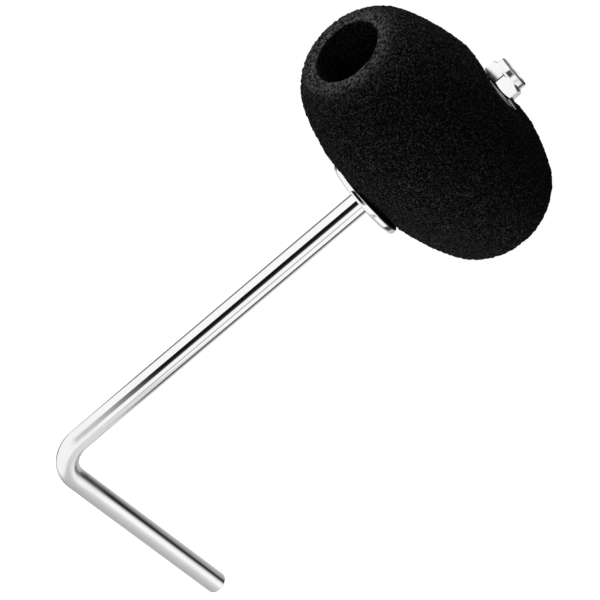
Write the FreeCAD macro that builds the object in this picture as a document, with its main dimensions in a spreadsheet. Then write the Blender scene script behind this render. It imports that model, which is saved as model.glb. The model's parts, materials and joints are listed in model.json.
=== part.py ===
"""Bass drum beater: a foam barrel head clamped on the long leg of a bent steel rod.

The rod is bent once to an L. Its short leg, the shank, goes into a pedal's clamp. Its long leg, the
stem, carries a flange, the foam head, a washer and a locking nut on the threaded end.

Frame: origin on the shank's axis, midway along its straight run. +X points to the shank's free end,
+Z runs up along the stem. Lengths are in millimetres, angles in degrees.
"""

import FreeCAD, Part
import math
import os

import Sketcher

SHEET = "Sizes"
UP = FreeCAD.Vector(0, 0, 1)
ZERO = FreeCAD.Vector(0, 0, 0)

# Driving dimensions, one group for each piece
SIZES = {
    # rod
    "rod_diameter": 8.0,
    "bend_radius": 12.0,
    "shank_length": 81.0,
    "rod_end_chamfer": 1.0,
    "rod_end_recess": 0.2,
    "thread_length": 30.0,
    "thread_pitch_diameter": 7.19,
    # flange on the rod side of the head
    "flange_diameter": 30.0,
    "flange_thickness": 2.5,
    "flange_edge_round": 0.9,
    "flange_height": 138.5,
    "braze_gap": 0.03,
    # foam head
    "head_length": 96.0,
    "head_diameter": 60.0,
    "head_crown_rise": 5.293,
    "head_shoulder_radius": 20.0,
    "head_lip_radius": 3.5,
    "head_face_diameter": 30.0,
    "head_bore_diameter": 23.4,
    "head_offset": 2.6,
    "front_dent_depth": 1.85,
    "rear_dent_depth": 3.85,
    "dent_flare_width": 12.0,
    "dent_flare_rise": 2.6,
    "foam_clearance": 0.3,
    # washer under the nut
    "washer_diameter": 20.0,
    "washer_thickness": 1.2,
    "washer_edge_round": 0.4,
    "washer_hole_clearance": 0.2,
    # locking nut and its ring
    "nut_across_flats": 13.0,
    "nut_corner_cut": 0.12,
    "nut_height": 7.7,
    "nut_hexagon_height": 4.15,
    "nut_shoulder_rise": 1.05,
    "nut_collar_wall": 0.82,
    "nut_collar_round": 0.7,
    "nut_face_diameter": 11.2,
    "nut_chamfer_rise": 0.92,
    "nut_turn": 40.0,
    "ring_wall": 1.255,
    "ring_thickness": 1.8,
    "ring_seat_gap": 0.03,
    "ring_lip_thickness": 0.5,
    "ring_lip_clearance": 0.855,
    "thread_clearance": 0.05,
    # how far a cut runs past the material that it removes
    "cut_overrun": 2.0,
}

doc = FreeCAD.newDocument("bass_drum_beater")
sheet = doc.addObject("Spreadsheet::Sheet", SHEET)
for row, (alias, value) in enumerate(SIZES.items(), start=1):
    sheet.set(f"A{row}", alias)
    sheet.set(f"B{row}", str(value))
    sheet.setAlias(f"B{row}", alias)
doc.recompute()


class Length:
    """A length with its value and the expression that it comes from, kept in step."""

    def __init__(self, value, words):
        self.value = value
        self.words = words

    @staticmethod
    def of(other):
        return other if isinstance(other, Length) else Length(other, str(other))

    def joined(self, other, sign, value):
        return Length(value, f"({self.words} {sign} {other.words})")

    def __add__(self, other):
        other = Length.of(other)
        return self.joined(other, "+", self.value + other.value)

    def __sub__(self, other):
        other = Length.of(other)
        return self.joined(other, "-", self.value - other.value)

    def __mul__(self, other):
        other = Length.of(other)
        return self.joined(other, "*", self.value * other.value)

    def __truediv__(self, other):
        other = Length.of(other)
        return self.joined(other, "/", self.value / other.value)

    def __neg__(self):
        return Length(-self.value, f"(-{self.words})")

    def root(self):
        return Length(math.sqrt(self.value), f"sqrt({self.words})")


def size(alias):
    """One driving dimension, read from the sheet."""
    return Length(float(sheet.get(alias)), f"{SHEET}.{alias}")


# Places that several pieces share
AXIS = Length(0, "0")
OVERRUN = size("cut_overrun")
STEM_X = -(size("shank_length") / 2 + size("bend_radius"))
SHANK_END = size("bend_radius") + size("shank_length")
HEAD_RADIUS = size("head_diameter") / 2
FRONT_SEAT = size("flange_height") + size("flange_thickness")
HEAD_HEIGHT = FRONT_SEAT + HEAD_RADIUS - size("front_dent_depth")
REAR_SEAT = HEAD_HEIGHT + HEAD_RADIUS - size("rear_dent_depth")
NUT_SEAT = REAR_SEAT + size("washer_thickness")
STEM_TOP = NUT_SEAT + size("nut_height") - size("rod_end_recess")
RING_TOP = size("nut_height") - size("ring_lip_thickness")
RING_SEAT = RING_TOP - size("ring_seat_gap") - size("ring_thickness")
THREAD_BORE = size("thread_pitch_diameter") + size("thread_clearance") * 2
RING_DIAMETER = THREAD_BORE + size("ring_wall") * 2
RING_HOUSING = RING_DIAMETER + size("ring_seat_gap") * 2
COLLAR_DIAMETER = RING_HOUSING + size("nut_collar_wall") * 2
RING_LIP_HOLE = THREAD_BORE + size("ring_lip_clearance") * 2


def new_body(label, height=AXIS):
    """An empty body on the stem's axis, with its own name and height."""
    body = doc.addObject("PartDesign::Body", label)
    body.Label = label
    body.setExpression("Placement.Base.x", STEM_X.words)
    body.setExpression("Placement.Base.z", height.words)
    return body


def new_sketch(body, name, role, lift=AXIS):
    """A sketch on one of the body's own origin planes, lifted along the plane's normal."""
    sketch = body.newObject("Sketcher::SketchObject", name)
    plane = next(item for item in body.Origin.OriginFeatures if item.Role == role)
    sketch.AttachmentSupport = [(plane, "")]
    sketch.MapMode = "FlatFace"
    sketch.setExpression("AttachmentOffset.Base.z", lift.words)
    return sketch


def rule(sketch, kind, *places):
    """A geometric constraint between parts of a sketch."""
    sketch.addConstraint(Sketcher.Constraint(kind, *places))


def dimension(sketch, kind, places, length):
    """A named dimension of a sketch, driven by its expression."""
    index = sketch.addConstraint(Sketcher.Constraint(kind, *places, length.value))
    name = f"{kind}{index}"
    sketch.renameConstraint(index, name)
    sketch.setExpression(f"Constraints.{name}", length.words)


def add_circle(sketch, diameter):
    """A circle about the sketch's origin."""
    index = sketch.addGeometry(Part.Circle(ZERO, UP, diameter.value / 2))
    rule(sketch, "Coincident", index, 3, -1, 1)
    dimension(sketch, "Diameter", (index,), diameter)
    return index


def add_place(sketch, kind, place, length):
    """The distance of a point from the sketch's origin, on either side of it."""
    axis_index = -2 if kind == "DistanceX" else -1
    if length.value == 0:
        rule(sketch, "PointOnObject", *place, axis_index)
    elif length.value > 0:
        dimension(sketch, kind, (-1, 1, *place), length)
    else:
        dimension(sketch, kind, (*place, -1, 1), -length)


def add_outline(sketch, corners):
    """A closed outline of straight lines. Each corner is a length across and a length up."""
    points = [FreeCAD.Vector(across.value, up.value, 0) for across, up in corners]
    lines = []
    for start, end in zip(points, points[1:] + points[:1]):
        lines.append(sketch.addGeometry(Part.LineSegment(start, end)))
    for line, following in zip(lines, lines[1:] + lines[:1]):
        rule(sketch, "Coincident", line, 2, following, 1)
    for line, (across, up) in zip(lines, corners):
        add_place(sketch, "DistanceX", (line, 1), across)
        add_place(sketch, "DistanceY", (line, 1), up)


def turned(body, name, kind, sketch, axis="V_Axis"):
    """A full turn of a sketch about one of its axes, added or cut away."""
    doc.recompute()
    feature = body.newObject(f"PartDesign::{kind}", name)
    feature.Profile = sketch
    feature.ReferenceAxis = (sketch, [axis])
    feature.Angle = 360
    doc.recompute()
    return feature


def raised(body, name, sketch, height):
    """A sketch raised along its normal."""
    doc.recompute()
    feature = body.newObject("PartDesign::Pad", name)
    feature.Profile = sketch
    feature.setExpression("Length", height.words)
    doc.recompute()
    return feature


def round_edges(feature, diameter, direction, place):
    """The names of a feature's full round edges of one diameter, at one place along a direction."""
    names = []
    for number, edge in enumerate(feature.Shape.Edges, start=1):
        curve = edge.Curve
        if not isinstance(curve, Part.Circle) or not edge.isClosed():
            continue
        size_error = abs(2 * curve.Radius - diameter.value)
        place_error = abs(curve.Center.dot(direction) - place.value)
        if max(size_error, place_error) < Part.Precision.confusion():
            names.append(f"Edge{number}")
    return names


def eased(body, name, kind, base, edges, length):
    """A chamfer or a fillet along some edges of a feature."""
    feature = body.newObject(f"PartDesign::{kind}", name)
    feature.Base = (base, edges)
    feature.setExpression("Size" if kind == "Chamfer" else "Radius", length.words)
    doc.recompute()
    return feature


def make_bent_rod():
    """One round rod: shank, one quarter bend and stem, drawn thinner where the thread is cut."""
    body = new_body("bent_rod")
    bend = size("bend_radius")
    path = new_sketch(body, "rod_path", "XZ_Plane")
    shank_near = FreeCAD.Vector(bend.value, 0, 0)
    stem_low = FreeCAD.Vector(0, bend.value, 0)
    corner = Part.Circle(shank_near + stem_low, UP, bend.value)
    path.addGeometry(Part.LineSegment(FreeCAD.Vector(SHANK_END.value, 0, 0), shank_near))
    path.addGeometry(Part.ArcOfCircle(corner, math.pi, 1.5 * math.pi))
    path.addGeometry(Part.LineSegment(stem_low, FreeCAD.Vector(0, STEM_TOP.value, 0)))
    rule(path, "Tangent", 0, 2, 1, 2)
    rule(path, "Tangent", 1, 1, 2, 1)
    for line, axis_index in ((0, -1), (2, -2)):
        rule(path, "PointOnObject", line, 1, axis_index)
        rule(path, "PointOnObject", line, 2, axis_index)
    dimension(path, "Radius", (1,), bend)
    dimension(path, "Distance", (0,), size("shank_length"))
    dimension(path, "Distance", (2,), STEM_TOP - bend)

    section = new_sketch(body, "rod_section", "YZ_Plane", SHANK_END)
    add_circle(section, size("rod_diameter"))
    doc.recompute()
    bar = body.newObject("PartDesign::AdditivePipe", "bent_bar")
    bar.Profile = section
    bar.Spine = (path, [])
    doc.recompute()

    # The thread is drawn as a plain run at its pitch diameter
    cut = new_sketch(body, "thread_cut", "XZ_Plane")
    inner = size("thread_pitch_diameter") / 2
    outer = size("rod_diameter") / 2 + OVERRUN
    low = STEM_TOP - size("thread_length")
    high = STEM_TOP + OVERRUN
    add_outline(cut, [(inner, low), (outer, low), (outer, high), (inner, high)])
    threaded = turned(body, "threaded_end", "Groove", cut)

    along_shank = FreeCAD.Vector(1, 0, 0)
    ends = round_edges(threaded, size("thread_pitch_diameter"), UP, STEM_TOP)
    ends += round_edges(threaded, size("rod_diameter"), along_shank, SHANK_END)
    eased(body, "end_chamfers", "Chamfer", threaded, ends, size("rod_end_chamfer"))
    return body


def make_plate(label, piece, height, hole):
    """A round plate with a hole in its middle and rounded outer edges."""
    body = new_body(label, height)
    diameter = size(f"{piece}_diameter")
    thickness = size(f"{piece}_thickness")
    outline = new_sketch(body, f"{piece}_outline", "XY_Plane")
    add_circle(outline, diameter)
    add_circle(outline, hole)
    plate = raised(body, f"{piece}_plate", outline, thickness)
    rims = round_edges(plate, diameter, UP, AXIS) + round_edges(plate, diameter, UP, thickness)
    eased(body, f"{piece}_rounds", "Fillet", plate, rims, size(f"{piece}_edge_round"))
    return body


def draw_barrel(sketch):
    """Half of the barrel's section: bore, and on each side a face, a lip and a shoulder to the flank.

    The bore's mouth is a sharp edge in the flat face of a cut end. From there on all five arcs run
    tangent into each other. The lip rounds the face's rim and fits inside the shoulder, and the flank
    rises from the shoulders by the crown to the barrel's full radius.
    """
    lip = size("head_lip_radius")
    shoulder = size("head_shoulder_radius")
    crown = size("head_crown_rise")
    bore = size("head_bore_diameter") / 2
    offset = size("head_offset")
    end = size("head_length") / 2
    lip_x = end - lip
    lip_y = size("head_face_diameter") / 2
    shoulder_y = HEAD_RADIUS - crown - shoulder
    nested = shoulder - lip
    shoulder_x = lip_x - (nested * nested - (lip_y - shoulder_y) * (lip_y - shoulder_y)).root()
    drop = crown + shoulder
    flank = (shoulder_x * shoulder_x + drop * drop - shoulder * shoulder) / (crown * 2)
    flank_y = HEAD_RADIUS - flank
    lip_angle = math.atan2(lip_y.value - shoulder_y.value, lip_x.value - shoulder_x.value)
    flank_angle = math.atan2(shoulder_y.value - flank_y.value, shoulder_x.value)

    def arc(across, up, radius, start, end, side):
        centre = FreeCAD.Vector(side * across.value - offset.value, up.value, 0)
        if side < 0:
            start, end = math.pi - end, math.pi - start
        return sketch.addGeometry(Part.ArcOfCircle(Part.Circle(centre, UP, radius.value), start, end))

    def line(start, finish):
        ends = [FreeCAD.Vector(across.value, up.value, 0) for across, up in (start, finish)]
        return sketch.addGeometry(Part.LineSegment(*ends))

    left_end = -end - offset
    right_end = end - offset
    bore_line = line((left_end, bore), (right_end, bore))
    right_face = line((right_end, bore), (right_end, lip_y))
    right_lip = arc(lip_x, lip_y, lip, 0, lip_angle, 1)
    right_shoulder = arc(shoulder_x, shoulder_y, shoulder, lip_angle, flank_angle, 1)
    top = arc(AXIS, flank_y, flank, flank_angle, math.pi - flank_angle, 1)
    left_shoulder = arc(shoulder_x, shoulder_y, shoulder, lip_angle, flank_angle, -1)
    left_lip = arc(lip_x, lip_y, lip, 0, lip_angle, -1)
    left_face = line((left_end, lip_y), (left_end, bore))

    smooth = [right_face, right_lip, right_shoulder, top, left_shoulder, left_lip, left_face]
    for piece, following in zip(smooth, smooth[1:]):
        rule(sketch, "Tangent", piece, 2, following, 1)
    rule(sketch, "Coincident", bore_line, 2, right_face, 1)
    rule(sketch, "Coincident", left_face, 2, bore_line, 1)
    rule(sketch, "Horizontal", bore_line)
    for face, lip_arc in ((right_face, right_lip), (left_face, left_lip)):
        rule(sketch, "Vertical", face)
        add_place(sketch, "DistanceY", (lip_arc, 3), lip_y)
    radii = {right_lip: lip, left_lip: lip, right_shoulder: shoulder, left_shoulder: shoulder, top: flank}
    for index, radius in radii.items():
        dimension(sketch, "Radius", (index,), radius)
    add_place(sketch, "DistanceY", (bore_line, 1), bore)
    add_place(sketch, "DistanceX", (right_lip, 3), lip_x - offset)
    dimension(sketch, "DistanceX", (left_lip, 3, right_lip, 3), lip_x * 2)
    add_place(sketch, "DistanceX", (top, 3), -offset)
    add_place(sketch, "DistanceY", (top, 3), flank_y)


def make_foam_head():
    """A barrel turned about X, bored, with a way for the stem and a dent under each plate."""
    body = new_body("foam_head", HEAD_HEIGHT)
    barrel_section = new_sketch(body, "barrel_section", "XZ_Plane")
    draw_barrel(barrel_section)
    turned(body, "barrel", "Revolution", barrel_section, "H_Axis")

    hole = size("rod_diameter") / 2 + size("foam_clearance")
    front_edge = size("flange_diameter") / 2 + size("foam_clearance")
    rear_edge = size("washer_diameter") / 2 + size("foam_clearance")
    front = size("front_dent_depth") - HEAD_RADIUS
    rear = HEAD_RADIUS - size("rear_dent_depth")
    flare = size("dent_flare_width")
    rise = size("dent_flare_rise")
    high = HEAD_RADIUS + rise + OVERRUN
    low = -high
    stem_way = new_sketch(body, "stem_way", "XZ_Plane")
    add_outline(
        stem_way,
        [
            (AXIS, low),
            (front_edge + flare, low),
            (front_edge + flare, front - rise),
            (front_edge, front),
            (hole, front),
            (hole, rear),
            (rear_edge, rear),
            (rear_edge + flare, rear + rise),
            (rear_edge + flare, high),
            (AXIS, high),
        ],
    )
    turned(body, "stem_hole_and_dents", "Groove", stem_way)
    return body


def make_lock_nut():
    """A hexagon with a turned collar at its outer end, bored for the thread and the ring."""
    body = new_body("lock_nut", NUT_SEAT)
    body.setExpression("Placement.Rotation.Angle", f"{size('nut_turn').words} * 1 deg")
    corner = size("nut_across_flats") / math.sqrt(3)
    height = size("nut_height")
    outline = new_sketch(body, "hexagon", "XY_Plane")
    sides = 6
    turns = [number * 2 * math.pi / sides for number in range(sides + 1)]
    points = [FreeCAD.Vector(math.cos(turn), math.sin(turn), 0) * corner.value for turn in turns]
    lines = [outline.addGeometry(Part.LineSegment(a, b)) for a, b in zip(points, points[1:])]
    circle = add_circle(outline, corner * 2)
    outline.toggleConstruction(circle)
    for line, following in zip(lines, lines[1:] + lines[:1]):
        rule(outline, "Coincident", line, 2, following, 1)
        rule(outline, "PointOnObject", line, 1, circle)
    for line in lines[1:]:
        rule(outline, "Equal", lines[0], line)
    rule(outline, "PointOnObject", lines[0], 1, -1)
    raised(body, "hexagon_bar", outline, height)

    # The outside is turned: a chamfered face, eased corners, a sloped shoulder and the collar
    outer = corner + OVERRUN
    edge = corner - size("nut_corner_cut")
    face = size("nut_face_diameter") / 2
    collar = COLLAR_DIAMETER / 2
    shoulder = size("nut_hexagon_height")
    above = height + OVERRUN
    outside = new_sketch(body, "outside", "XZ_Plane")
    add_outline(
        outside,
        [
            (face, -OVERRUN),
            (face, AXIS),
            (edge, size("nut_chamfer_rise")),
            (edge, shoulder),
            (collar, shoulder + size("nut_shoulder_rise")),
            (collar, above),
            (outer, above),
            (outer, -OVERRUN),
        ],
    )
    turned_blank = turned(body, "turned_blank", "Groove", outside)
    rim = round_edges(turned_blank, COLLAR_DIAMETER, UP, height)
    eased(body, "collar_rim", "Fillet", turned_blank, rim, size("nut_collar_round"))

    bore = THREAD_BORE / 2
    ring = RING_HOUSING / 2
    lip = RING_LIP_HOLE / 2
    bore_cut = new_sketch(body, "bore_cut", "XZ_Plane")
    add_outline(
        bore_cut,
        [
            (AXIS, -OVERRUN),
            (bore, -OVERRUN),
            (bore, RING_SEAT),
            (ring, RING_SEAT),
            (ring, RING_TOP),
            (lip, RING_TOP),
            (lip, above),
            (AXIS, above),
        ],
    )
    turned(body, "bore_and_ring_seat", "Groove", bore_cut)
    return body


def make_nylon_ring():
    """The plastic locking ring held in the nut's collar."""
    body = new_body("nylon_ring", NUT_SEAT + RING_SEAT)
    outline = new_sketch(body, "ring_outline", "XY_Plane")
    add_circle(outline, RING_DIAMETER)
    add_circle(outline, THREAD_BORE)
    raised(body, "ring_band", outline, size("ring_thickness"))
    return body


flange_hole = size("rod_diameter") + size("braze_gap") * 2
washer_hole = size("rod_diameter") + size("washer_hole_clearance") * 2
pieces = [
    make_bent_rod(),
    make_plate("front_flange", "flange", size("flange_height"), flange_hole),
    make_foam_head(),
    make_plate("rear_washer", "washer", REAR_SEAT, washer_hole),
    make_lock_nut(),
    make_nylon_ring(),
]
doc.recompute()

failed = [item.Label for item in doc.Objects if {"Invalid", "Error"} & set(item.State)]
unsound = [piece.Label for piece in pieces if piece.Shape.isNull() or not piece.Shape.isValid()]
if failed or unsound:
    raise RuntimeError(f"features that failed: {failed}, shapes that are unsound: {unsound}")

os.makedirs("parts", exist_ok=True)
for piece in pieces:
    box = piece.Shape.BoundBox
    print(
        f"{piece.Label}: {len(piece.Shape.Solids)} solid, {piece.Shape.Volume:.1f} mm3,"
        f" x {box.XMin:.2f} to {box.XMax:.2f}, y {box.YMin:.2f} to {box.YMax:.2f},"
        f" z {box.ZMin:.2f} to {box.ZMax:.2f}"
    )
    piece.Shape.exportStep(os.path.join("parts", f"{piece.Label}.step"))
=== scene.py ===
# %% [markdown]
# A bass drum beater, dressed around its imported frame
# The beater is a bent steel rod with a foam barrel clamped on its long leg. The frame already holds
# every piece at its real size and place, so this lesson only makes the looks: smooth pieces that
# reflect well, the foam's grain, the finishes and a small studio. All lengths are in metres.

# %% Load the frame
import json
import math

import bmesh
import bpy
from mathutils import Matrix, Vector, noise


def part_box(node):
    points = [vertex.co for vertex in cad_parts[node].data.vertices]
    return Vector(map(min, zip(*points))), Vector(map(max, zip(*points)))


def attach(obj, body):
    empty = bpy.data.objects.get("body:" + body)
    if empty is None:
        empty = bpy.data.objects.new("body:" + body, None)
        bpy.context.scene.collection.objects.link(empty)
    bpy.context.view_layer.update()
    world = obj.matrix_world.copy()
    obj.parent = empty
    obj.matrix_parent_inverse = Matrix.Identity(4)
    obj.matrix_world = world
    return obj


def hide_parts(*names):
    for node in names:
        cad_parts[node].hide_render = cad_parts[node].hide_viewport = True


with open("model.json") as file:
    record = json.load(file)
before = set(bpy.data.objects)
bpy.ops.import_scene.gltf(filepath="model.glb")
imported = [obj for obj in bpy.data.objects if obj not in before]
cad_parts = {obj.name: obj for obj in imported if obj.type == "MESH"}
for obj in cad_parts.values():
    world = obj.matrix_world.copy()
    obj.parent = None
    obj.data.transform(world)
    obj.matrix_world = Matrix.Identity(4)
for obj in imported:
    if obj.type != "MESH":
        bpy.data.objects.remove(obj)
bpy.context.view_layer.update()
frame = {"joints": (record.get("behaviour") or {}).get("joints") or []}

MM = 0.001
UP = Vector((0, 0, 1))
ALONG = Vector((1, 0, 0))
FULL_TURN = 2 * math.pi

# %% [markdown]
# The camera
# A photograph is matched best by saying what a photographer would say: where the camera stands
# around the object, how high, how far, how long its lens is and how far it is rolled. Five numbers
# and the point it looks at do that, and a matrix made of the camera's right, up and back puts it
# there. Typing the matrix itself would work too, but nobody could read or adjust it.

# %% Camera
VIEW_AZIMUTH = math.radians(-40.15)
VIEW_ELEVATION = math.radians(9.67)
VIEW_ROLL = math.radians(49.91)
VIEW_DISTANCE = 0.8571
VIEW_TARGET = Vector((-0.03453, 0.00266, 0.09856))
FIELD_OF_VIEW = math.radians(13.52)

level = Vector((math.cos(VIEW_AZIMUTH), math.sin(VIEW_AZIMUTH), 0))
back = Vector((
    math.sin(VIEW_AZIMUTH) * math.cos(VIEW_ELEVATION),
    -math.cos(VIEW_AZIMUTH) * math.cos(VIEW_ELEVATION),
    math.sin(VIEW_ELEVATION),
))
right = Matrix.Rotation(VIEW_ROLL, 3, back) @ level
turn = Matrix((right, back.cross(right), back)).transposed()
lens = bpy.data.cameras.new("camera")
lens.angle = FIELD_OF_VIEW
camera = bpy.data.objects.new("camera", lens)
camera.matrix_world = Matrix.Translation(VIEW_TARGET + back * VIEW_DISTANCE) @ turn.to_4x4()
bpy.context.scene.collection.objects.link(camera)
bpy.context.scene.camera = camera
print("camera at", [round(value, 3) for value in camera.matrix_world.translation])

# %% [markdown]
# Shader maths as sums
# A finish is a small recipe of masks and mixes. Wiring each Math node by hand hides the recipe, so
# one class wraps an output socket and turns Python's own operators into Math nodes. Any other node
# comes from its node method: settings first, then the values or links of its sockets.

# %% The socket class
class Wire:
    """One output socket of a node tree. Sums on it add Math nodes to that tree."""

    def __init__(self, tree, socket):
        self.tree = tree
        self.socket = socket

    def node(self, kind, settings=None, sockets=None, output=0):
        """Adds a node: its settings first, then the values or links of its sockets."""
        made = self.tree.nodes.new(f"ShaderNode{kind}")
        for name, value in (settings or {}).items():
            if name == "stops":
                Wire.fill_ramp(made.color_ramp, value)
            else:
                setattr(made, name, value)
        for name, value in (sockets or {}).items():
            Wire.feed(self.tree, value, made.inputs[name])
        return Wire(self.tree, made.outputs[output])

    @staticmethod
    def fill_ramp(ramp, stops):
        """Sets a ramp's stops, given as places and greys."""
        while len(ramp.elements) < len(stops):
            ramp.elements.new(1)
        for element, (place, grey) in zip(ramp.elements, stops):
            element.position = place
            element.color = (grey, grey, grey, 1)

    @staticmethod
    def feed(tree, value, socket):
        """Links a wire to a socket, or sets a plain value on it."""
        if isinstance(value, Wire):
            tree.links.new(value.socket, socket)
        else:
            socket.default_value = value

    def math(self, operation, *others):
        """Adds a Math node whose first value is this wire."""
        sockets = dict(enumerate((self, *others)))
        return self.node("Math", {"operation": operation}, sockets)

    def clamped(self, low, high):
        """Runs from 0 at low to 1 at high, with soft ends."""
        settings = {"interpolation_type": "SMOOTHSTEP"}
        return self.node("MapRange", settings, {"Value": self, "From Min": low, "From Max": high})

    def __add__(self, other):
        return self.math("ADD", other)

    __radd__ = __add__

    def __sub__(self, other):
        return self.math("SUBTRACT", other)

    def __rsub__(self, other):
        return (self * -1).math("ADD", other)

    def __mul__(self, other):
        return self.math("MULTIPLY", other)

    __rmul__ = __mul__

    def __truediv__(self, other):
        return self.math("DIVIDE", other)

    def __pow__(self, other):
        return self.math("POWER", other)


# %% Helpers for finishes
def new_finish(name, **constants):
    """A material, its shader and its object coordinates. Constants go on the shader's own sockets."""
    material = bpy.data.materials.new(name)
    material.use_nodes = True
    tree = material.node_tree
    shader = tree.nodes["Principled BSDF"]
    for socket, value in constants.items():
        shader.inputs[socket.replace("_", " ")].default_value = value
    places = tree.nodes.new("ShaderNodeTexCoord")
    return material, shader, Wire(tree, places.outputs["Object"])


def paint(shader, **wires):
    """Links wires to the shader's sockets."""
    for socket, wire in wires.items():
        wire.tree.links.new(wire.socket, shader.inputs[socket.replace("_", " ")])


def tinted(mask, low, high):
    """A colour between two, by a mask that runs from 0 to 1. A colour is three numbers or a wire."""
    low, high = [colour if isinstance(colour, Wire) else (*colour, 1) for colour in (low, high)]
    return mask.node("Mix", {"data_type": "RGBA"}, {0: mask, 6: low, 7: high}, output=2)


def speckled(place, per_metre, detail):
    """A cloudy noise from 0 to 1, with so many lumps to the metre."""
    return place.node("TexNoise", None, {"Vector": place, "Scale": per_metre, "Detail": detail})


def reach(place, centre, axes):
    """How far a place lies from a centre, counting only the axes that are 1."""
    offset = place.node("VectorMath", {"operation": "SUBTRACT"}, {0: place, 1: centre})
    kept = offset.node("VectorMath", {"operation": "MULTIPLY"}, {0: offset, 1: axes})
    return kept.node("VectorMath", {"operation": "LENGTH"}, {0: kept}, output=1)


def bumped(height, depth):
    """A normal for the shader from a height that runs from 0 to 1."""
    return height.node("Bump", None, {"Height": height, "Distance": depth, "Strength": 1.0})


# %% [markdown]
# Places taken from the frame
# The stem's line is where the head's joint is, and each box gives a piece's size. Only what no box
# can tell, such as an arc's radius inside a solid, is written in this lesson as a size of its own.

# %% Measure the frame
joints = {joint["name"]: joint for joint in frame["joints"]}
HEAD_CENTRE = Vector(joints["head_turn"]["pos_m"])
rod_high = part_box("bent_rod")[1]
flange_low, flange_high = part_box("front_flange")
washer_low, washer_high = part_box("rear_washer")
nut_low, nut_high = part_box("lock_nut")
ring_low, ring_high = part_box("nylon_ring")
foam_low, foam_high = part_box("foam_head")
STEM = Vector((HEAD_CENTRE.x, 0, 0))
ROD_RADIUS = rod_high.y
FLANGE_RADIUS = flange_high.x - STEM.x
WASHER_RADIUS = washer_high.x - STEM.x
BAND_RADIUS = ring_high.x - STEM.x
print("rod radius", ROD_RADIUS, "flange radius", FLANGE_RADIUS, "washer radius", WASHER_RADIUS)

# %% [markdown]
# Finishing a piece
# Every piece ends the same way: the bmesh becomes a mesh, gets its finish, is shaded smooth except
# at real edges, and rides on a body of the frame. One function does that, so no piece can forget it.
# Most pieces of a beater are round, so one lathe and one rounding tool also serve them all.

# %% Helpers for pieces
CLOSE = 0.01 * MM


def finish_piece(name, bm, material, body, node=None, crease=35):
    """Makes a bmesh a piece on a body, which stands for a node if one is named. Crease is in degrees."""
    mesh = bpy.data.meshes.new(name)
    bm.to_mesh(mesh)
    bm.free()
    mesh.materials.append(material)
    mesh.shade_smooth()
    mesh.set_sharp_from_angle(angle=math.radians(crease))
    piece = bpy.data.objects.new(name, mesh)
    bpy.context.scene.collection.objects.link(piece)
    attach(piece, body)
    if node:
        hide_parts(node)
    triangles = sum(len(face.vertices) - 2 for face in mesh.polygons)
    print(f"{name}: {triangles} triangles on {body}")
    return piece


def lathed(points, centre, axis, steps):
    """Spins a closed outline of points once round an axis."""
    bm = bmesh.new()
    verts = [bm.verts.new(point) for point in points]
    edges = [bm.edges.new(pair) for pair in zip(verts, verts[1:] + verts[:1])]
    bmesh.ops.spin(
        bm, geom=verts + edges, cent=centre, axis=axis, angle=FULL_TURN, steps=steps, use_merge=True
    )
    bmesh.ops.recalc_face_normals(bm, faces=bm.faces)
    return bm


def turned(outline, steps):
    """Turns an outline of radius and height about the stem."""
    points = [STEM + ALONG * radius + UP * height for radius, height in outline]
    return lathed(points, STEM, UP, steps)


def radius_of(vert):
    """How far a vertex lies from the stem's line."""
    return (vert.co - STEM).xy.length


def rounded(bm, edges, width, segments):
    """Rounds edges over with a soft profile."""
    bmesh.ops.bevel(
        bm, geom=edges, offset=width, offset_type="OFFSET", segments=segments, profile=0.5,
        affect="EDGES", clamp_overlap=True, material=-1,
    )


def loops_at(bm, radius, heights):
    """The edges of a turned piece that run round the stem at one radius and some heights."""
    def lies_at(vert, height):
        return abs(radius_of(vert) - radius) < CLOSE and abs(vert.co.z - height) < CLOSE

    pairs = [(edge, height) for edge in bm.edges for height in heights]
    return [edge for edge, height in pairs if all(lies_at(vert, height) for vert in edge.verts)]


# %% [markdown]
# Chrome
# Chromed steel is a mirror, and a mirror has little colour of its own. A plain metal shader would do
# for a far view. What makes chrome look real close up is what breaks the mirror: hair-fine polishing
# lines, a faint waviness and a few duller patches. All three are small changes of roughness and
# normal, so one function holds them, and each chromed piece adds its own wear.

# %% Chrome
CHROME_LIGHT = (0.955, 0.957, 0.960)
CHROME_DULL = (0.900, 0.902, 0.908)
LINES_PER_METRE = 900.0
PATCHES_PER_METRE = 60.0
WAVES_PER_METRE = 35.0
PATCH_START = 0.52
PATCH_FULL = 0.75
PATCH_TINT_SHARE = 0.6
PATCH_ROUGHNESS = 0.03
LINE_ROUGHNESS = 0.025
LINE_HEIGHT_SHARE = 0.15
CHROME_BUMP = 0.004 * MM
ROUND_THE_STEM = (1, 1, 0)


def chrome(name, line_stretch, roughness):
    """Polished chrome without its last links: its colour and roughness come back to be worn."""
    material, shader, place = new_finish(name, Metallic=1.0)
    stretched = place.node("Mapping", None, {"Vector": place, "Scale": line_stretch})
    lines = speckled(stretched, LINES_PER_METRE, detail=4)
    patches = speckled(place, PATCHES_PER_METRE, detail=3)
    waves = speckled(place, WAVES_PER_METRE, detail=1)
    dull = patches.clamped(PATCH_START, PATCH_FULL)
    colour = tinted(dull * PATCH_TINT_SHARE, CHROME_LIGHT, CHROME_DULL)
    rough = roughness + LINE_ROUGHNESS * lines + PATCH_ROUGHNESS * dull
    height = (1 - LINE_HEIGHT_SHARE) * waves + LINE_HEIGHT_SHARE * lines
    paint(shader, Normal=bumped(height, CHROME_BUMP))
    return material, shader, place, colour, rough


def plate_chrome():
    """Chrome on the flange, with its lines round the stem."""
    material, shader, _, colour, rough = chrome("plate_chrome", line_stretch=(1, 1, 6), roughness=0.05)
    paint(shader, Base_Color=colour, Roughness=rough)
    return material


PLATE_FINISH = plate_chrome()
print("finish:", PLATE_FINISH.name)

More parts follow.
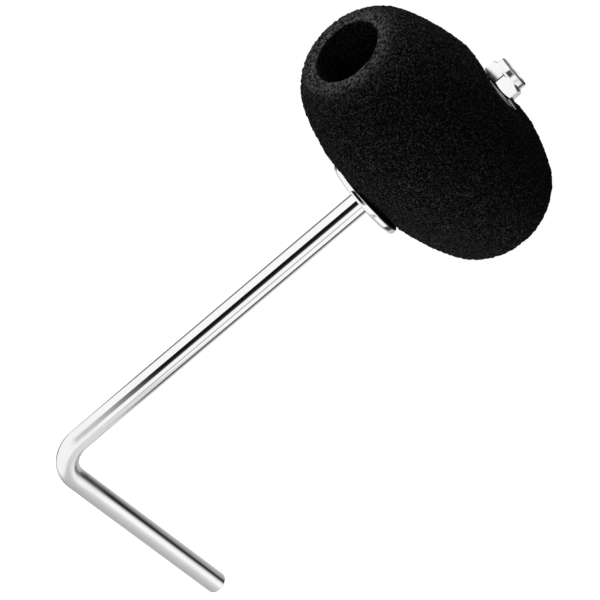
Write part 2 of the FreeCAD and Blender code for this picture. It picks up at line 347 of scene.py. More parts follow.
# %% [markdown]
# The rod's finish
# The rod is polished, but it has a satin zone where it was bent, because stretching the bar roughens
# it and a polishing wheel doesn't reach into the bend. A painted mask would need a map of the rod.
# The distance from the inside of the bend tells the same, and needs only a point and two lengths.

# %% Rod finish
SATIN_LIGHT = (0.930, 0.927, 0.930)
SATIN_ROUGHNESS = 0.22
SATIN_INSET = 6 * MM
SATIN_CENTRE = STEM + ALONG * SATIN_INSET + UP * SATIN_INSET
SATIN_REACH = 13 * MM
SATIN_FADE = 26 * MM


def rod_chrome():
    """Chrome that turns satin round the bend."""
    material, shader, place, colour, rough = chrome("rod_chrome", line_stretch=(1, 1, 1), roughness=0.03)
    satin = 1 - reach(place, SATIN_CENTRE, (1, 1, 1)).clamped(SATIN_REACH, SATIN_FADE)
    paint(
        shader, Base_Color=tinted(satin, colour, SATIN_LIGHT),
        Roughness=rough + SATIN_ROUGHNESS * satin,
    )
    return material


ROD_FINISH = rod_chrome()
print("finish:", ROD_FINISH.name)

# %% [markdown]
# The bent rod
# The real rod is a straight bar, bent once. It could be a curve with a bevel, but a ring of
# vertices that is extruded, spun through the bend and extruded again follows the real bending and
# keeps even rings, so the mirror stays smooth. At its end the bar gets thinner for the thread.

# %% Rod
ROD_SIDES = 128
BEND_RADIUS = 12 * MM
BEND_STEPS = 48
END_ROUND = 1 * MM
TIP_ROUND = 0.6 * MM
THREAD_LENGTH = 30 * MM
THREAD_PITCH = 1.25 * MM
THREAD_ROOT = 3.30 * MM
THREAD_CREST = 3.96 * MM
RUN_OUT = 1.2 * MM
SUPPORT = 0.3 * MM
THREAD_LOW = rod_high.z - THREAD_LENGTH


def edges_of(made):
    """The edges among what an operator made."""
    return [item for item in made if isinstance(item, bmesh.types.BMEdge)]


def extruded(bm, ring, move):
    """Extrudes a ring of edges and moves the new ring."""
    made = bmesh.ops.extrude_edge_only(bm, edges=ring)["geom"]
    verts = [item for item in made if isinstance(item, bmesh.types.BMVert)]
    bmesh.ops.translate(bm, verts=verts, vec=move)
    return edges_of(made)


def straight(bm, ring, move):
    """A straight run with a ring close to each end, so that its shading stays straight too."""
    near = move.normalized() * SUPPORT
    ring = extruded(bm, ring, near)
    ring = extruded(bm, ring, move - near * 2)
    return extruded(bm, ring, near)


def shrunk(bm, ring, factor):
    """Draws a ring round the stem in towards the stem."""
    verts = list({vert for edge in ring for vert in edge.verts})
    bmesh.ops.scale(bm, verts=verts, vec=(factor, factor, 1), space=Matrix.Translation(-STEM))


bm = bmesh.new()
shank_end = Matrix.Translation((rod_high.x, 0, 0)) @ Matrix.Rotation(math.pi / 2, 4, "Y")
bmesh.ops.create_circle(bm, cap_ends=True, segments=ROD_SIDES, radius=ROD_RADIUS, matrix=shank_end)
end_ring = list(bm.edges)
bend_x = STEM.x + BEND_RADIUS
ring = straight(bm, end_ring, ALONG * (bend_x - rod_high.x))
bend = bmesh.ops.spin(
    bm, geom=ring, cent=(bend_x, 0, BEND_RADIUS), axis=(0, 1, 0), angle=math.pi / 2,
    steps=BEND_STEPS, use_merge=False,
)
ring = edges_of(bend["geom_last"])
ring = straight(bm, ring, UP * (THREAD_LOW - RUN_OUT - BEND_RADIUS))
ring = extruded(bm, ring, UP * RUN_OUT)
shrunk(bm, ring, THREAD_ROOT / ROD_RADIUS)
ring = straight(bm, ring, UP * THREAD_LENGTH)
bmesh.ops.edgeloop_fill(bm, edges=ring)
rounded(bm, end_ring, END_ROUND, segments=5)
tip_ring = [edge for edge in bm.edges if min(v.co.z for v in edge.verts) > rod_high.z - CLOSE]
rounded(bm, tip_ring, TIP_ROUND, segments=2)
bmesh.ops.recalc_face_normals(bm, faces=bm.faces)
finish_piece("rod_bar", bm, ROD_FINISH, "rod", "bent_rod")

# %% [markdown]
# The threads
# A thread is one tooth carried round and up at the same time. A Screw modifier could wind it, but the
# spin operator does just that when it is given a step along the axis, so the rod's thread and the
# nut's thread are one function with other radii. The nut's tooth lies in the rod's groove, half a
# pitch higher. A tooth's foot is sunk a little into its bar, so that no gap shows.

# %% Threads
THREAD_SIDES = 48
TOOTH_FOOT_SHARE = 0.40
TOOTH_TIP_SHARE = 0.08
THREAD_SINK = 0.06 * MM


def threaded(foot, tip, low, turns):
    """One tooth from a foot radius to a tip radius, wound right-handed up the stem."""
    corners = [
        (foot, -TOOTH_FOOT_SHARE),
        (tip, -TOOTH_TIP_SHARE),
        (tip, TOOTH_TIP_SHARE),
        (foot, TOOTH_FOOT_SHARE),
    ]
    bm = bmesh.new()
    verts = [bm.verts.new(STEM + ALONG * r + UP * (low + share * THREAD_PITCH)) for r, share in corners]
    face = bm.faces.new(verts)
    bmesh.ops.spin(
        bm, geom=[face], cent=STEM, axis=UP, dvec=UP * THREAD_PITCH / THREAD_SIDES,
        angle=FULL_TURN * turns, steps=round(THREAD_SIDES * turns), use_merge=False,
    )
    bmesh.ops.recalc_face_normals(bm, faces=bm.faces)
    return bm


rod_turns = (THREAD_LENGTH - THREAD_PITCH) / THREAD_PITCH
bm = threaded(THREAD_ROOT - THREAD_SINK, THREAD_CREST, THREAD_LOW + THREAD_PITCH / 2, rod_turns)
finish_piece("rod_thread", bm, ROD_FINISH, "rod")

# %% [markdown]
# The washer's finish
# The washer is a stamped one with plain dull plating, painted darker still at its rim. The rim
# could be a second material on its faces, but the colour changes over a few tenths of a millimetre,
# and the distance from the stem gives that soft change.

# %% Washer finish
ZINC_LIGHT = (0.50, 0.50, 0.51)
ZINC_RIM = (0.16, 0.16, 0.165)
RIM_INNER = WASHER_RADIUS - 0.5 * MM
RIM_OUTER = WASHER_RADIUS - 0.1 * MM


def washer_plating():
    """Dull plating on a stamped washer, painted darker at its rim."""
    material, shader, place, _, rough = chrome("washer_plating", line_stretch=(1, 1, 6), roughness=0.20)
    # The plating's colour is painted darker over the last half millimetre out to the rim.
    darker_rim_mask = reach(place, STEM, ROUND_THE_STEM).clamped(RIM_INNER, RIM_OUTER)
    paint(shader, Base_Color=tinted(darker_rim_mask, ZINC_LIGHT, ZINC_RIM), Roughness=rough)
    return material


WASHER_FINISH = washer_plating()
print("finish:", WASHER_FINISH.name)

# %% [markdown]
# Flange and washer
# Both plates are turned discs with a hole. A cylinder with a boolean would do, but a closed outline
# of four corners, spun about the stem, makes the disc and its hole at once, and a bevel rounds the
# rim. The rounding matters more than it seems: each rounded edge catches one thin line of light, and
# a sharp one would catch none.

# %% Plates
PLATE_STEPS = 160
FLANGE_ROUND = 0.9 * MM
WASHER_ROUND = 0.4 * MM
HOLE_ROUND_SHARE = 0.25
WASHER_PLAY = 0.2 * MM


def plate(low, high, outer, hole, rim):
    """A disc with a hole. The rim's rounding is given, and the hole gets a share of it."""
    bm = turned([(hole, low), (outer, low), (outer, high), (hole, high)], PLATE_STEPS)
    rounded(bm, loops_at(bm, outer, (low, high)), rim, segments=6)
    rounded(bm, loops_at(bm, hole, (low, high)), rim * HOLE_ROUND_SHARE, segments=2)
    return bm


bm = plate(flange_low.z, flange_high.z, FLANGE_RADIUS, ROD_RADIUS, FLANGE_ROUND)
finish_piece("flange_plate", bm, PLATE_FINISH, "rod", "front_flange")
bm = plate(washer_low.z, washer_high.z, WASHER_RADIUS, ROD_RADIUS + WASHER_PLAY, WASHER_ROUND)
finish_piece("washer_plate", bm, WASHER_FINISH, "washer", "rear_washer")

# %% [markdown]
# The nut's finish
# The nut is plated without much polishing, so its mirror is softer than the rod's. Its collar was
# rolled over at the end, which leaves a dull band there. As on the washer, the band is found by its
# distance from the stem, and this time by its height too.

# %% Nut finish
ROLLED_DULL = (0.15, 0.15, 0.155)
ROLLED_ROUGHNESS = 0.25
ROLLED_LOW = nut_high.z - 0.68 * MM
ROLLED_HIGH = nut_high.z - 0.52 * MM
ROLLED_INNER = 5.0 * MM
ROLLED_OUTER = 5.2 * MM
UP_THE_STEM = (0, 0, 1)


def nut_chrome():
    """Chrome with a dull band where the collar was rolled over."""
    material, shader, place, colour, rough = chrome("nut_chrome", line_stretch=(1, 1, 5), roughness=0.14)
    outside = reach(place, STEM, ROUND_THE_STEM).clamped(ROLLED_INNER, ROLLED_OUTER)
    rolled = outside * reach(place, STEM, UP_THE_STEM).clamped(ROLLED_LOW, ROLLED_HIGH)
    paint(
        shader, Base_Color=tinted(rolled, colour, ROLLED_DULL),
        Roughness=rough + ROLLED_ROUGHNESS * rolled,
    )
    return material


NUT_FINISH = nut_chrome()
print("finish:", NUT_FINISH.name)

# %% [markdown]
# The locking nut
# A nut starts as a turned blank, and then six flats are milled on it. Doing the same here gives the
# curved scallops where a flat meets a cone without any drawing: the blank is spun, each flat is one
# bisect that clears the outside, and the cut is filled. The collar at the outer end, which is
# crimped over the locking band, is left round.

# %% Nut
NUT_STEPS = 144
NUT_SIDES = 6
NUT_FLAT = 6.5 * MM
CORNER_LOSS = 0.12 * MM
NUT_CORNER = NUT_FLAT / math.cos(math.pi / NUT_SIDES) - CORNER_LOSS
NUT_TURN = math.radians(40)
NUT_FACE = 5.6 * MM
NUT_CHAMFER = 0.92 * MM
NUT_HEXAGON = 4.15 * MM
NUT_SHOULDER = 1.05 * MM
NUT_BORE = 4.05 * MM
COLLAR_RADIUS = 5.75 * MM
COLLAR_ROUND = 0.7 * MM
BAND_PLAY = 0.03 * MM
BAND_HOUSING = BAND_RADIUS + BAND_PLAY
LIP_HOLE = 4.5 * MM
LIP_LOW = ring_high.z + BAND_PLAY
CUT_TOLERANCE = 0.0001 * MM

base = nut_low.z
blank = [
    (NUT_BORE, base),
    (NUT_FACE, base),
    (NUT_CORNER, base + NUT_CHAMFER),
    (NUT_CORNER, base + NUT_HEXAGON),
    (COLLAR_RADIUS, base + NUT_HEXAGON + NUT_SHOULDER),
    (COLLAR_RADIUS, nut_high.z),
    (LIP_HOLE, nut_high.z),
    (LIP_HOLE, LIP_LOW),
    (BAND_HOUSING, LIP_LOW),
    (BAND_HOUSING, ring_low.z),
    (NUT_BORE, ring_low.z),
]
bm = turned(blank, NUT_STEPS)
rounded(bm, loops_at(bm, COLLAR_RADIUS, (nut_high.z,)), COLLAR_ROUND, segments=5)
for side in range(NUT_SIDES):
    angle = NUT_TURN + (side + 0.5) * FULL_TURN / NUT_SIDES
    outward = Vector((math.cos(angle), math.sin(angle), 0))
    cut = bmesh.ops.bisect_plane(
        bm, geom=bm.verts[:] + bm.edges[:] + bm.faces[:], dist=CUT_TOLERANCE,
        plane_co=STEM + outward * NUT_FLAT, plane_no=outward, clear_outer=True,
    )
    bmesh.ops.edgeloop_fill(bm, edges=edges_of(cut["geom_cut"]))
bmesh.ops.recalc_face_normals(bm, faces=bm.faces)
finish_piece("nut_body", bm, NUT_FINISH, "nut", "lock_nut", crease=20)

# %% The nut's thread
TOOTH_PLAY = 0.1 * MM

nut_turns = (ring_low.z - base - THREAD_PITCH) / THREAD_PITCH
first_groove = THREAD_LOW + THREAD_PITCH
grooves_below = math.ceil((base + THREAD_PITCH / 2 - first_groove) / THREAD_PITCH)
groove = first_groove + grooves_below * THREAD_PITCH
bm = threaded(NUT_BORE + THREAD_SINK, THREAD_ROOT + TOOTH_PLAY, groove, nut_turns)
finish_piece("nut_thread", bm, NUT_FINISH, "nut")

# %% [markdown]
# The locking band
# A ring of nylon sits under the nut's lip and grips the thread. It shows only from the nut's end, as
# a pale band round the rod, so the plate function is enough for it. Its bore just meets the thread's
# crests. Natural nylon is milky and waxy. Light that passes through it would be closer to the real
# thing, but on a band this small a cloudy colour looks the same.

# %% Nylon and its band
NYLON_LIGHT = (0.78, 0.76, 0.70)
NYLON_DARK = (0.66, 0.63, 0.56)
NYLON_ROUGHNESS = 0.38
CLOUD_ROUGHNESS = 0.15
CLOUDS_PER_METRE = 700.0
SPECKS_PER_METRE = 6000.0
NYLON_BUMP = 0.01 * MM
BAND_BORE = THREAD_CREST + 0.02 * MM
BAND_ROUND = 0.3 * MM


def nylon():
    """Natural nylon: milky, a little uneven in colour, waxy."""
    material, shader, place = new_finish("nylon", Metallic=0.0)
    cloud = speckled(place, CLOUDS_PER_METRE, detail=3)
    specks = speckled(place, SPECKS_PER_METRE, detail=2)
    paint(
        shader, Base_Color=tinted(cloud, NYLON_DARK, NYLON_LIGHT),
        Roughness=NYLON_ROUGHNESS + CLOUD_ROUGHNESS * cloud, Normal=bumped(specks, NYLON_BUMP),
    )
    return material


bm = plate(ring_low.z, ring_high.z, BAND_RADIUS, BAND_BORE, BAND_ROUND)
finish_piece("locking_band", bm, nylon(), "nut", "nylon_ring")

# %% [markdown]
# Black foam
# The head is moulded foam, cut at its two ends. Its skin is matt and nearly black, with a grain of
# about half a millimetre: dark pores between paler walls. At the cut ends the open walls catch more
# light, so a paler ring lies round the bore, while the bore's inside is painted black as painted
# shade. The grain is made twice on purpose: as real bumps in the mesh, and, finer than the mesh can
# hold, in the finish.

# %% Foam finish
FOAM_DARK = (0.0013, 0.0013, 0.0013)
FOAM_LIGHT = (0.0508, 0.0504, 0.0511)
BLACK = (0, 0, 0)
CELLS_PER_METRE = 1500.0
CLUMPS_PER_METRE = 1750.0
PORES_PER_METRE = 1150.0
DRIFTS_PER_METRE = 260.0
CELL_SHARE = 0.45
CLUMP_SHARE = 1.5
NOISE_MIDDLE = 0.5
WALL_START = 0.06
WALL_FULL = 0.72
WALL_CURVE = 1.2
SKIN_LIGHT = 0.22
SKIN_DRIFT = 0.60
PORE_START = 0.41
PORE_FULL = 0.63
CUT_PORE_SHARE = 0.62
CUT_WALL_SHARE = 0.30
BORE_SHADE = 0.97
FOAM_ROUGHNESS = 0.98
WALL_SMOOTHNESS = 0.12
FOAM_BUMP = 0.10 * MM
BORE_RADIUS = 11.7 * MM
BORE_SHADE_INNER = BORE_RADIUS - 0.1 * MM
BORE_SHADE_OUTER = BORE_RADIUS + 0.2 * MM
CUT_RADIUS = 13.2 * MM
CUT_FADE = 19.5 * MM
ROUND_THE_BORE = (0, 1, 1)


def foam():
    """Moulded foam: grainy walls, a slow drift over the skin, open pores at the cut ends, painted shade in
    the bore.
    """
    material, shader, place = new_finish("black_foam", Metallic=0.0, Specular_IOR_Level=0.01)
    sockets = {"Vector": place, "Scale": CELLS_PER_METRE, "Randomness": 1.0}
    cells = place.node("TexVoronoi", {"feature": "F1"}, sockets)
    clumps = speckled(place, CLUMPS_PER_METRE, detail=2)
    drift = speckled(place, DRIFTS_PER_METRE, detail=2)
    pores = speckled(place, PORES_PER_METRE, detail=2)
    walls = (CELL_SHARE * cells + CLUMP_SHARE * (clumps - NOISE_MIDDLE)).clamped(WALL_START, WALL_FULL)
    skin = walls ** WALL_CURVE * (SKIN_LIGHT + SKIN_DRIFT * drift)
    cut_face = CUT_PORE_SHARE * pores.clamped(PORE_START, PORE_FULL) + CUT_WALL_SHARE * walls
    radius = reach(place, HEAD_CENTRE, ROUND_THE_BORE)
    cut_ring = 1 - radius.clamped(CUT_RADIUS, CUT_FADE)
    # Painted shade: inside the bore the foam's colour is mixed nearly to black.
    bore_shade_mask = 1 - radius.clamped(BORE_SHADE_INNER, BORE_SHADE_OUTER)
    colour = tinted(skin + (cut_face - skin) * cut_ring, FOAM_DARK, FOAM_LIGHT)
    paint(
        shader, Base_Color=tinted(BORE_SHADE * bore_shade_mask, colour, BLACK),
        Roughness=FOAM_ROUGHNESS - WALL_SMOOTHNESS * walls, Normal=bumped(walls, FOAM_BUMP),
    )
    return material


FOAM_FINISH = foam()
print("finish:", FOAM_FINISH.name)

# %% [markdown]
# The foam barrel
# Seen along the stem the head is a barrel: a long flank, round shoulders and, at each end, a flat face
# cut square with the bore's crisp mouth in it. The round parts are arcs that run into each other, so
# the outline is worked out from a few radii and spun about the bore's line. A sphere that is scaled
# would be quicker, but its ends would be too pointed.

# %% Barrel outline
FOAM_SPACING = 0.56 * MM
BORE_SPACING = 1.2 * MM
LIP_RADIUS = 3.5 * MM
FACE_RADIUS = 15 * MM
MOUTH_ROUND = 0.4 * MM
SHOULDER_RADIUS = 20 * MM
CROWN_RISE = 5.293 * MM
BARREL_RADIUS = foam_high.y
HALF_LENGTH = (foam_high.x - foam_low.x) / 2


def arc(centre, radius, start, end):
    """Points along an arc, evenly spaced, without its last point."""
    count = max(2, round(radius * abs(end - start) / FOAM_SPACING))
    turns = [start + (end - start) * step / count for step in range(count)]
    return [(centre[0] + radius * math.cos(turn), centre[1] + radius * math.sin(turn)) for turn in turns]


def run(start, end, spacing):
    """Points along a straight run, evenly spaced, without its last point."""
    count = max(2, round(math.dist(start, end) / spacing))
    shares = [step / count for step in range(count)]
    return [(start[0] + (end[0] - start[0]) * s, start[1] + (end[1] - start[1]) * s) for s in shares]


lip = (HALF_LENGTH - LIP_RADIUS, FACE_RADIUS)
shoulder_out = BARREL_RADIUS - CROWN_RISE - SHOULDER_RADIUS
nested = SHOULDER_RADIUS - LIP_RADIUS
shoulder = (lip[0] - math.sqrt(nested ** 2 - (lip[1] - shoulder_out) ** 2), shoulder_out)
drop = CROWN_RISE + SHOULDER_RADIUS
flank_radius = (shoulder[0] ** 2 + drop ** 2 - SHOULDER_RADIUS ** 2) / (2 * CROWN_RISE)
flank = (0, BARREL_RADIUS - flank_radius)
lip_turn = math.atan2(lip[1] - shoulder[1], lip[0] - shoulder[0])
flank_turn = math.atan2(shoulder[1] - flank[1], shoulder[0])
mouth = (HALF_LENGTH - MOUTH_ROUND, BORE_RADIUS + MOUTH_ROUND)

half = arc(flank, flank_radius, math.pi / 2, flank_turn)
half += arc(shoulder, SHOULDER_RADIUS, flank_turn, lip_turn)
half += arc(lip, LIP_RADIUS, lip_turn, 0)
half += run((HALF_LENGTH, FACE_RADIUS), (HALF_LENGTH, mouth[1]), FOAM_SPACING)
half += arc(mouth, MOUTH_ROUND, 0, -math.pi / 2)
half += run((mouth[0], BORE_RADIUS), (0, BORE_RADIUS), BORE_SPACING)
half += [(0, BORE_RADIUS)]
other_half = [(-along, out) for along, out in reversed(half[1:-1])]
outline = half + other_half
print(f"barrel outline: {len(outline)} points, flank radius {flank_radius:.4f}")

# %% [markdown]
# Clamping the barrel
# The flange and the washer press the foam in. A boolean would cut the plates out of it and leave a
# step, which foam never shows. Instead each vertex near a plate is moved in: flat under the plate,
# and beside it by a share of the dent that dies away with distance. Beside the washer it dies away
# fast along the barrel and slowly down its sides.

# %% Barrel
BARREL_STEPS = 336
BARREL_MIDDLE = Vector(((foam_low.x + foam_high.x) / 2, 0, HEAD_CENTRE.z))
FOAM_GAP = 0.10 * MM
REAR_RECOVERY = (3 * MM, 15 * MM)
FRONT_RECOVERY = (4 * MM, 4 * MM)
PRESS_BLEND = 0.5 * MM


def soft_minimum(first, second, blend):
    """The smaller of two numbers, rounded where they cross."""
    near = max(blend - abs(first - second), 0) / blend
    return min(first, second) - near * near * blend / 4


def pressed(height, seat, plate_radius, offset, recovery):
    """How high foam stands above the head's axis when a plate is held at its seat."""
    dent = height - soft_minimum(height, seat - FOAM_GAP, PRESS_BLEND)
    beyond = offset.length - plate_radius
    if beyond <= 0:
        return height - dent
    heading = offset.normalized()
    rate = heading.x ** 2 / recovery[0] + heading.y ** 2 / recovery[1]
    return height - dent * math.exp(-beyond * rate)


points = [BARREL_MIDDLE + ALONG * along + UP * out for along, out in outline]
bm = lathed(points, BARREL_MIDDLE, ALONG, BARREL_STEPS)
rear_seat = washer_low.z - HEAD_CENTRE.z
front_seat = HEAD_CENTRE.z - flange_high.z
for vert in bm.verts:
    height = vert.co.z - HEAD_CENTRE.z
    offset = (vert.co - STEM).xy
    if height > 0:
        vert.co.z = HEAD_CENTRE.z + pressed(height, rear_seat, WASHER_RADIUS, offset, REAR_RECOVERY)
    else:
        vert.co.z = HEAD_CENTRE.z - pressed(-height, front_seat, FLANGE_RADIUS, offset, FRONT_RECOVERY)
print("pressed barrel:", len(bm.faces), "faces")

# %% [markdown]
# The stem's way
# The real stem is pushed through a hole across the bore. A boolean would leave thin faces at its rim,
# so the vertices inside the hole are deleted, the ragged rims are drawn out to the hole's radius, and
# the outer rim is bridged to the bore's, above and below.

# %% Hole for the stem
STEM_PLAY = 0.15 * MM
STEM_WAY = ROD_RADIUS + STEM_PLAY

in_the_way = [vert for vert in bm.verts if radius_of(vert) < STEM_WAY]
bmesh.ops.delete(bm, geom=in_the_way, context="VERTS")
rims = [edge for edge in bm.edges if edge.is_boundary]
for vert in {vert for edge in rims for vert in edge.verts}:
    out = (vert.co - STEM).xy.normalized() * STEM_WAY
    vert.co.xy = STEM.xy + out
for side in (1, -1):
    wall = [edge for edge in rims if (edge.verts[0].co.z - HEAD_CENTRE.z) * side > 0]
    bmesh.ops.bridge_loops(bm, edges=wall)
bmesh.ops.recalc_face_normals(bm, faces=bm.faces)
print("barrel before its grain:", len(bm.faces), "faces")

# %% [markdown]
# Grain in the mesh
# The finish can only pretend to be rough, and an outline gives it away. A Displace modifier could
# roughen the mesh, but it would reach into the bore and under the plates too. So each vertex outside
# them is moved along its normal, by a tenth of a millimetre or two of noise in two sizes.

# %% Grain
GRAIN_HEIGHT = 0.42 * MM
GRAIN_SIZE = 1.1 * MM
LUMP_HEIGHT = 0.10 * MM
LUMP_SIZE = 6 * MM
MOUTH_CALM = 1.5 * MM

bm.normal_update()
for vert in bm.verts:
    around = (vert.co - HEAD_CENTRE).yz.length
    plate_radius = WASHER_RADIUS if vert.co.z > HEAD_CENTRE.z else FLANGE_RADIUS
    if radius_of(vert) > plate_radius:
        share = min(max(around - BORE_RADIUS, 0) / MOUTH_CALM, 1)
        grain = noise.noise(vert.co / GRAIN_SIZE) * GRAIN_HEIGHT
        lump = noise.noise(vert.co / LUMP_SIZE) * LUMP_HEIGHT
        vert.co += vert.normal * share * (grain + lump)
barrel = finish_piece("foam_barrel", bm, FOAM_FINISH, "head", "foam_head", crease=80)

# %% [markdown]
# The studio
# Foam needs soft light from one side, and chrome needs something to reflect. They are kept apart:
# lamps and a dim sky light the foam, and cards that only reflections can see draw the chrome's
# lines. The sky is white to the camera and to mirrors but dim where light is gathered, so a white
# background adds no light to the object.

# %% Sky
AMBIENT = 0.25

sky = bpy.data.worlds.new("sky")
sky.use_nodes = True
bpy.context.scene.world = sky


def seen_by(tree, *rays):
    """1 where one of these kinds of ray looks, and 0 elsewhere."""
    path = tree.nodes.new("ShaderNodeLightPath")
    kinds = [Wire(tree, path.outputs[f"Is {ray} Ray"]) for ray in rays]
    seen = kinds[0]
    for kind in kinds[1:]:
        seen = seen.math("MAXIMUM", kind)
    return seen


sky_tree = sky.node_tree
background = sky_tree.nodes["Background"]
background.inputs["Color"].default_value = (1, 1, 1, 1)
in_view = seen_by(sky_tree, "Camera", "Glossy", "Transmission")
Wire.feed(sky_tree, AMBIENT + (1 - AMBIENT) * in_view, background.inputs["Strength"])
print("sky: ambient light", AMBIENT)

# %% [markdown]
# The floor
# Small goods are photographed over a white sweep. A plane of white paint would look grey where the
# lamps are far, so this one takes the lamps' light and the object's shadow, and adds a glow that lifts
# it to white for the camera. Where a lamp is near, such a floor would show in the chrome as a glare
# far brighter than white, so to a mirror it has no lit colour and one even glow instead.

# %% Floor
FLOOR_HEIGHT = -0.16
FLOOR_REACH = 2.0
FLOOR_LIGHT = 0.82
FLOOR_GLOW = 0.80
MIRROR_GLOW = 0.98


def grey_of(value):
    """A grey colour from a wire."""
    return value.node("CombineColor", None, {"Red": value, "Green": value, "Blue": value})


def stage_piece(name, bm, material):
    """Something that stands round the object and isn't part of it."""
    mesh = bpy.data.meshes.new(name)
    bm.to_mesh(mesh)
    bm.free()
    mesh.materials.append(material)
    made = bpy.data.objects.new(name, mesh)
    bpy.context.scene.collection.objects.link(made)
    print(f"{name}: stands in the studio")
    return made


def flat_sheet(size, matrix):
    """A flat square, sized and placed by a matrix."""
    bm = bmesh.new()
    bmesh.ops.create_grid(bm, x_segments=1, y_segments=1, size=size, matrix=matrix)
    return bm


floor_paint, floor_shader, floor_place = new_finish(
    "floor_paint", Roughness=0.9, Specular_IOR_Level=0.0, Emission_Strength=1.0
)
in_view = seen_by(floor_place.tree, "Camera", "Transmission")
in_mirror = seen_by(floor_place.tree, "Glossy")
glow = FLOOR_GLOW * in_view * (1 - in_mirror) + MIRROR_GLOW * in_mirror
paint(floor_shader, Base_Color=grey_of(FLOOR_LIGHT * (1 - in_mirror)), Emission_Color=grey_of(glow))
stage_piece("floor", flat_sheet(FLOOR_REACH, Matrix.Translation(UP * FLOOR_HEIGHT)), floor_paint)

# %% [markdown]
# The lamps
# Area lamps give the soft edge between light and shade that a photographer's softbox gives, where a
# point or a sun would give a hard one. A large lamp on the left lights the barrel's cut end and
# flank, a weaker one below the camera fills its front, and a small one by the floor lifts its
# underside. None of them shows in the chrome, because the cards draw what shows there.

# %% Lamps
LEFT_LAMP = Vector((-0.95, 0.42, 0.42))
FRONT_LAMP = Vector((-0.62, -0.80, -0.10))
LOW_LAMP = Vector((0.24, -0.12, FLOOR_HEIGHT + 0.02))


def lamp(name, place, width, power):
    """A soft square lamp, aimed at the head, that stays out of pictures and mirrors."""
    light = bpy.data.lights.new(name, "AREA")
    light.size = width
    light.energy = power
    made = bpy.data.objects.new(name, light)
    made.location = place
    made.rotation_euler = (HEAD_CENTRE - place).to_track_quat("-Z", "Y").to_euler()
    made.visible_camera = False
    made.visible_glossy = False
    bpy.context.scene.collection.objects.link(made)
    print(f"{name}: {power} watts")


lamp("left_lamp", LEFT_LAMP, width=0.6, power=18)
lamp("front_lamp", FRONT_LAMP, width=0.6, power=4.2)
lamp("low_lamp", LOW_LAMP, width=0.25, power=3.6)

# %% [markdown]
# Upright cards
# A mirror shows its room. A round upright rod sees the room squeezed into a narrow strip, so a dark
# card beside the camera becomes a dark line down the stem. A picture of a studio wrapped round the
# sky would work too, but cards can be moved one by one. Each is part of a wall round the stem, placed
# by its angle from the camera, and fades into white at its foot. Two lie flat instead: a strip on the
# floor, which draws the bend's thin outline, and a small boom above the nut, which darkens it.

# %% Helpers for cards
CARD_DISTANCE = 0.5
CARD_LOW = -0.152
CARD_HIGH = 0.27
CARD_FADE = 0.088
CARD_STEP = 2
LEAN_PER_METRE = math.radians(29)
eye = camera.matrix_world.translation
CAMERA_TURN = math.atan2(eye.y - STEM.y, eye.x - STEM.x)


def only_in_mirrors(card):
    """Hides a card from everything but reflections."""
    card.visible_camera = False
    card.visible_diffuse = False
    card.visible_transmission = False
    card.visible_volume_scatter = False
    card.visible_shadow = False


def card_paint(name):
    """An unlit paint, its shader and its object coordinates."""
    return new_finish(
        name, Base_Color=(0, 0, 0, 1), Roughness=1.0, Specular_IOR_Level=0.0, Emission_Strength=1.0
    )


def along_axis(place, axis):
    """One coordinate of a place: X, Y or Z."""
    return place.node("SeparateXYZ", None, {"Vector": place}, output=axis)


def swept(ends, centre, axis, angle, steps):
    """A sheet left behind by a straight edge that turns about an axis."""
    bm = bmesh.new()
    pair = [bm.verts.new(end) for end in ends]
    edge = bm.edges.new(pair)
    bmesh.ops.spin(
        bm, geom=[*pair, edge], cent=centre, axis=axis, angle=angle, steps=steps, use_merge=False
    )
    return bm


# %% Upright cards
WALL_FOOT = (CARD_DISTANCE, CARD_LOW)
WALL_TOP = (CARD_DISTANCE, CARD_HIGH)
FAR_TOP = (CARD_DISTANCE, 0.15)
STRIP_OUTER = (0.9, -0.15)
STRIP_INNER = (0.15, -0.15)
STRIP_FADE = 0.001
BOOM_OUTER = (0.07, 0.30)
BOOM_INNER = (0.025, 0.30)


def wall_card(name, start, end, grey, foot=WALL_FOOT, top=WALL_TOP, fade=CARD_FADE):
    """A strip of wall between two angles from the camera, in degrees.

    Its foot and top are given as a distance from the stem and a height."""
    material, shader, place = card_paint(name)
    shown = along_axis(place, "Z").clamped(CARD_LOW, CARD_LOW + fade)
    paint(shader, Emission_Color=grey_of(1 - (1 - grey) * shown))
    ends = []
    for distance, height in (foot, top):
        first = CAMERA_TURN + math.radians(start) + LEAN_PER_METRE * height
        out = Vector((math.cos(first), math.sin(first), 0)) * distance
        ends.append(STEM + out + UP * height)
    steps = max(1, round((end - start) / CARD_STEP))
    bm = swept(ends, STEM, UP, math.radians(end - start), steps)
    only_in_mirrors(stage_piece(name, bm, material))


wall_card("dark_card", start=-36, end=-2, grey=0.008)
wall_card("dark_card_edge", start=-2, end=4, grey=0.06)
wall_card("dark_card_soft", start=4, end=10, grey=0.25)
wall_card("pale_card", start=43, end=55, grey=0.48)
wall_card("grey_card", start=98, end=124, grey=0.08)
wall_card("grey_card_edge", start=124, end=178, grey=0.55)
wall_card("far_card", start=-160, end=-120, grey=0.18, top=FAR_TOP)
wall_card("floor_strip", start=165, end=230, grey=0.20, foot=STRIP_OUTER, top=STRIP_INNER, fade=STRIP_FADE)
wall_card("boom", start=-182, end=-160, grey=0.008, foot=BOOM_OUTER, top=BOOM_INNER)

# %% [markdown]
# Arch, painted floor shadow and flag
# The shank lies level, so it sees what is above and below it. Above it an arch runs from white over
# black to pale, and a ramp by the angle round the shank gives it that run in one piece. Below it a
# grey sheet, a painted shadow of the beater on the floor, gets paler to both sides. A small pale flag
# close to the shank fills the gap between the two, whose edges would cut a hard line into the
# shank's lower band.

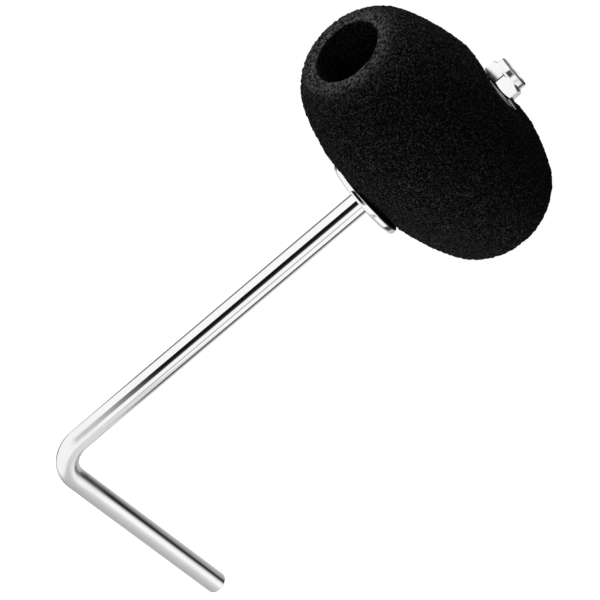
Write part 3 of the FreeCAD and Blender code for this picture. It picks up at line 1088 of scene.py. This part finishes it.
# %% Arch
ARCH_RADIUS = 0.32
ARCH_NEAR = 0.03
ARCH_FAR = 1.0
ARCH_START = math.radians(165)
ARCH_END = math.radians(27)
ARCH_STEPS = 60
ARCH_GREYS = {
    0: 1.0, 15: 0.98, 27: 0.78, 40: 0.33, 50: 0.05, 64: 0.008, 80: 0.04, 100: 0.20, 126: 0.47, 160: 0.70,
}
CAMERA_TILT = math.atan2(eye.z, eye.y)

arch_paint, shader, place = card_paint("arch_paint")
tilt = CAMERA_TILT - along_axis(place, "Z").math("ARCTAN2", along_axis(place, "Y"))
stops = [(degrees / 180, grey) for degrees, grey in ARCH_GREYS.items()]
paint(shader, Emission_Color=tilt.node("ValToRGB", {"stops": stops}, {"Fac": tilt / math.pi}))
start = Vector((0, math.cos(ARCH_START), math.sin(ARCH_START))) * ARCH_RADIUS
ends = [start + ALONG * along for along in (ARCH_NEAR, ARCH_FAR)]
bm = swept(ends, (0, 0, 0), ALONG, ARCH_END - ARCH_START, ARCH_STEPS)
only_in_mirrors(stage_piece("arch", bm, arch_paint))

# %% Painted floor shadow and flag
PAINTED_SHADOW_CENTRE = Vector((0.45, 0, FLOOR_HEIGHT + 5 * MM))
PAINTED_SHADOW_SIZE = (0.45, 0.8, 1, 1)
PAINTED_SHADOW_GREY = 0.42
PAINTED_SHADOW_RISE = 0.40
PAINTED_SHADOW_CURVE = 0.6
FLAG_CENTRE = Vector((0.028, -0.03, 0))
FLAG_HALF_HEIGHT = 7.5 * MM
FLAG_SIZE = (0.045, FLAG_HALF_HEIGHT, 1, 1)
FLAG_GREY = 0.82
FLAG_RISE = 0.16

# A painted shadow: a grey sheet, seen only in mirrors, stands for the beater's shade on the floor below
# the shank.
painted_shadow_paint, shader, place = card_paint("painted_shadow_paint")
aside = along_axis(place, "Y").math("ABSOLUTE")
paint(shader, Emission_Color=grey_of(PAINTED_SHADOW_GREY + PAINTED_SHADOW_RISE * aside ** PAINTED_SHADOW_CURVE))
level_painted_shadow = Matrix.Translation(PAINTED_SHADOW_CENTRE) @ Matrix.Diagonal(PAINTED_SHADOW_SIZE)
only_in_mirrors(stage_piece("painted_floor_shadow", flat_sheet(1, level_painted_shadow), painted_shadow_paint))

flag_paint, shader, place = card_paint("flag_paint")
height_share = along_axis(place, "Z") / FLAG_HALF_HEIGHT
paint(shader, Emission_Color=grey_of(FLAG_GREY + FLAG_RISE * height_share))
upright = Matrix.Rotation(math.pi / 2, 4, "X") @ Matrix.Diagonal(FLAG_SIZE)
only_in_mirrors(stage_piece("flag", flat_sheet(1, Matrix.Translation(FLAG_CENTRE) @ upright), flag_paint))

# %% [markdown]
# Hand over
# The view
# frame's and the dressed object's, so that anyone can see that dressing changed no size.

# %% View transform
bpy.context.scene.view_settings.view_transform = "Standard"
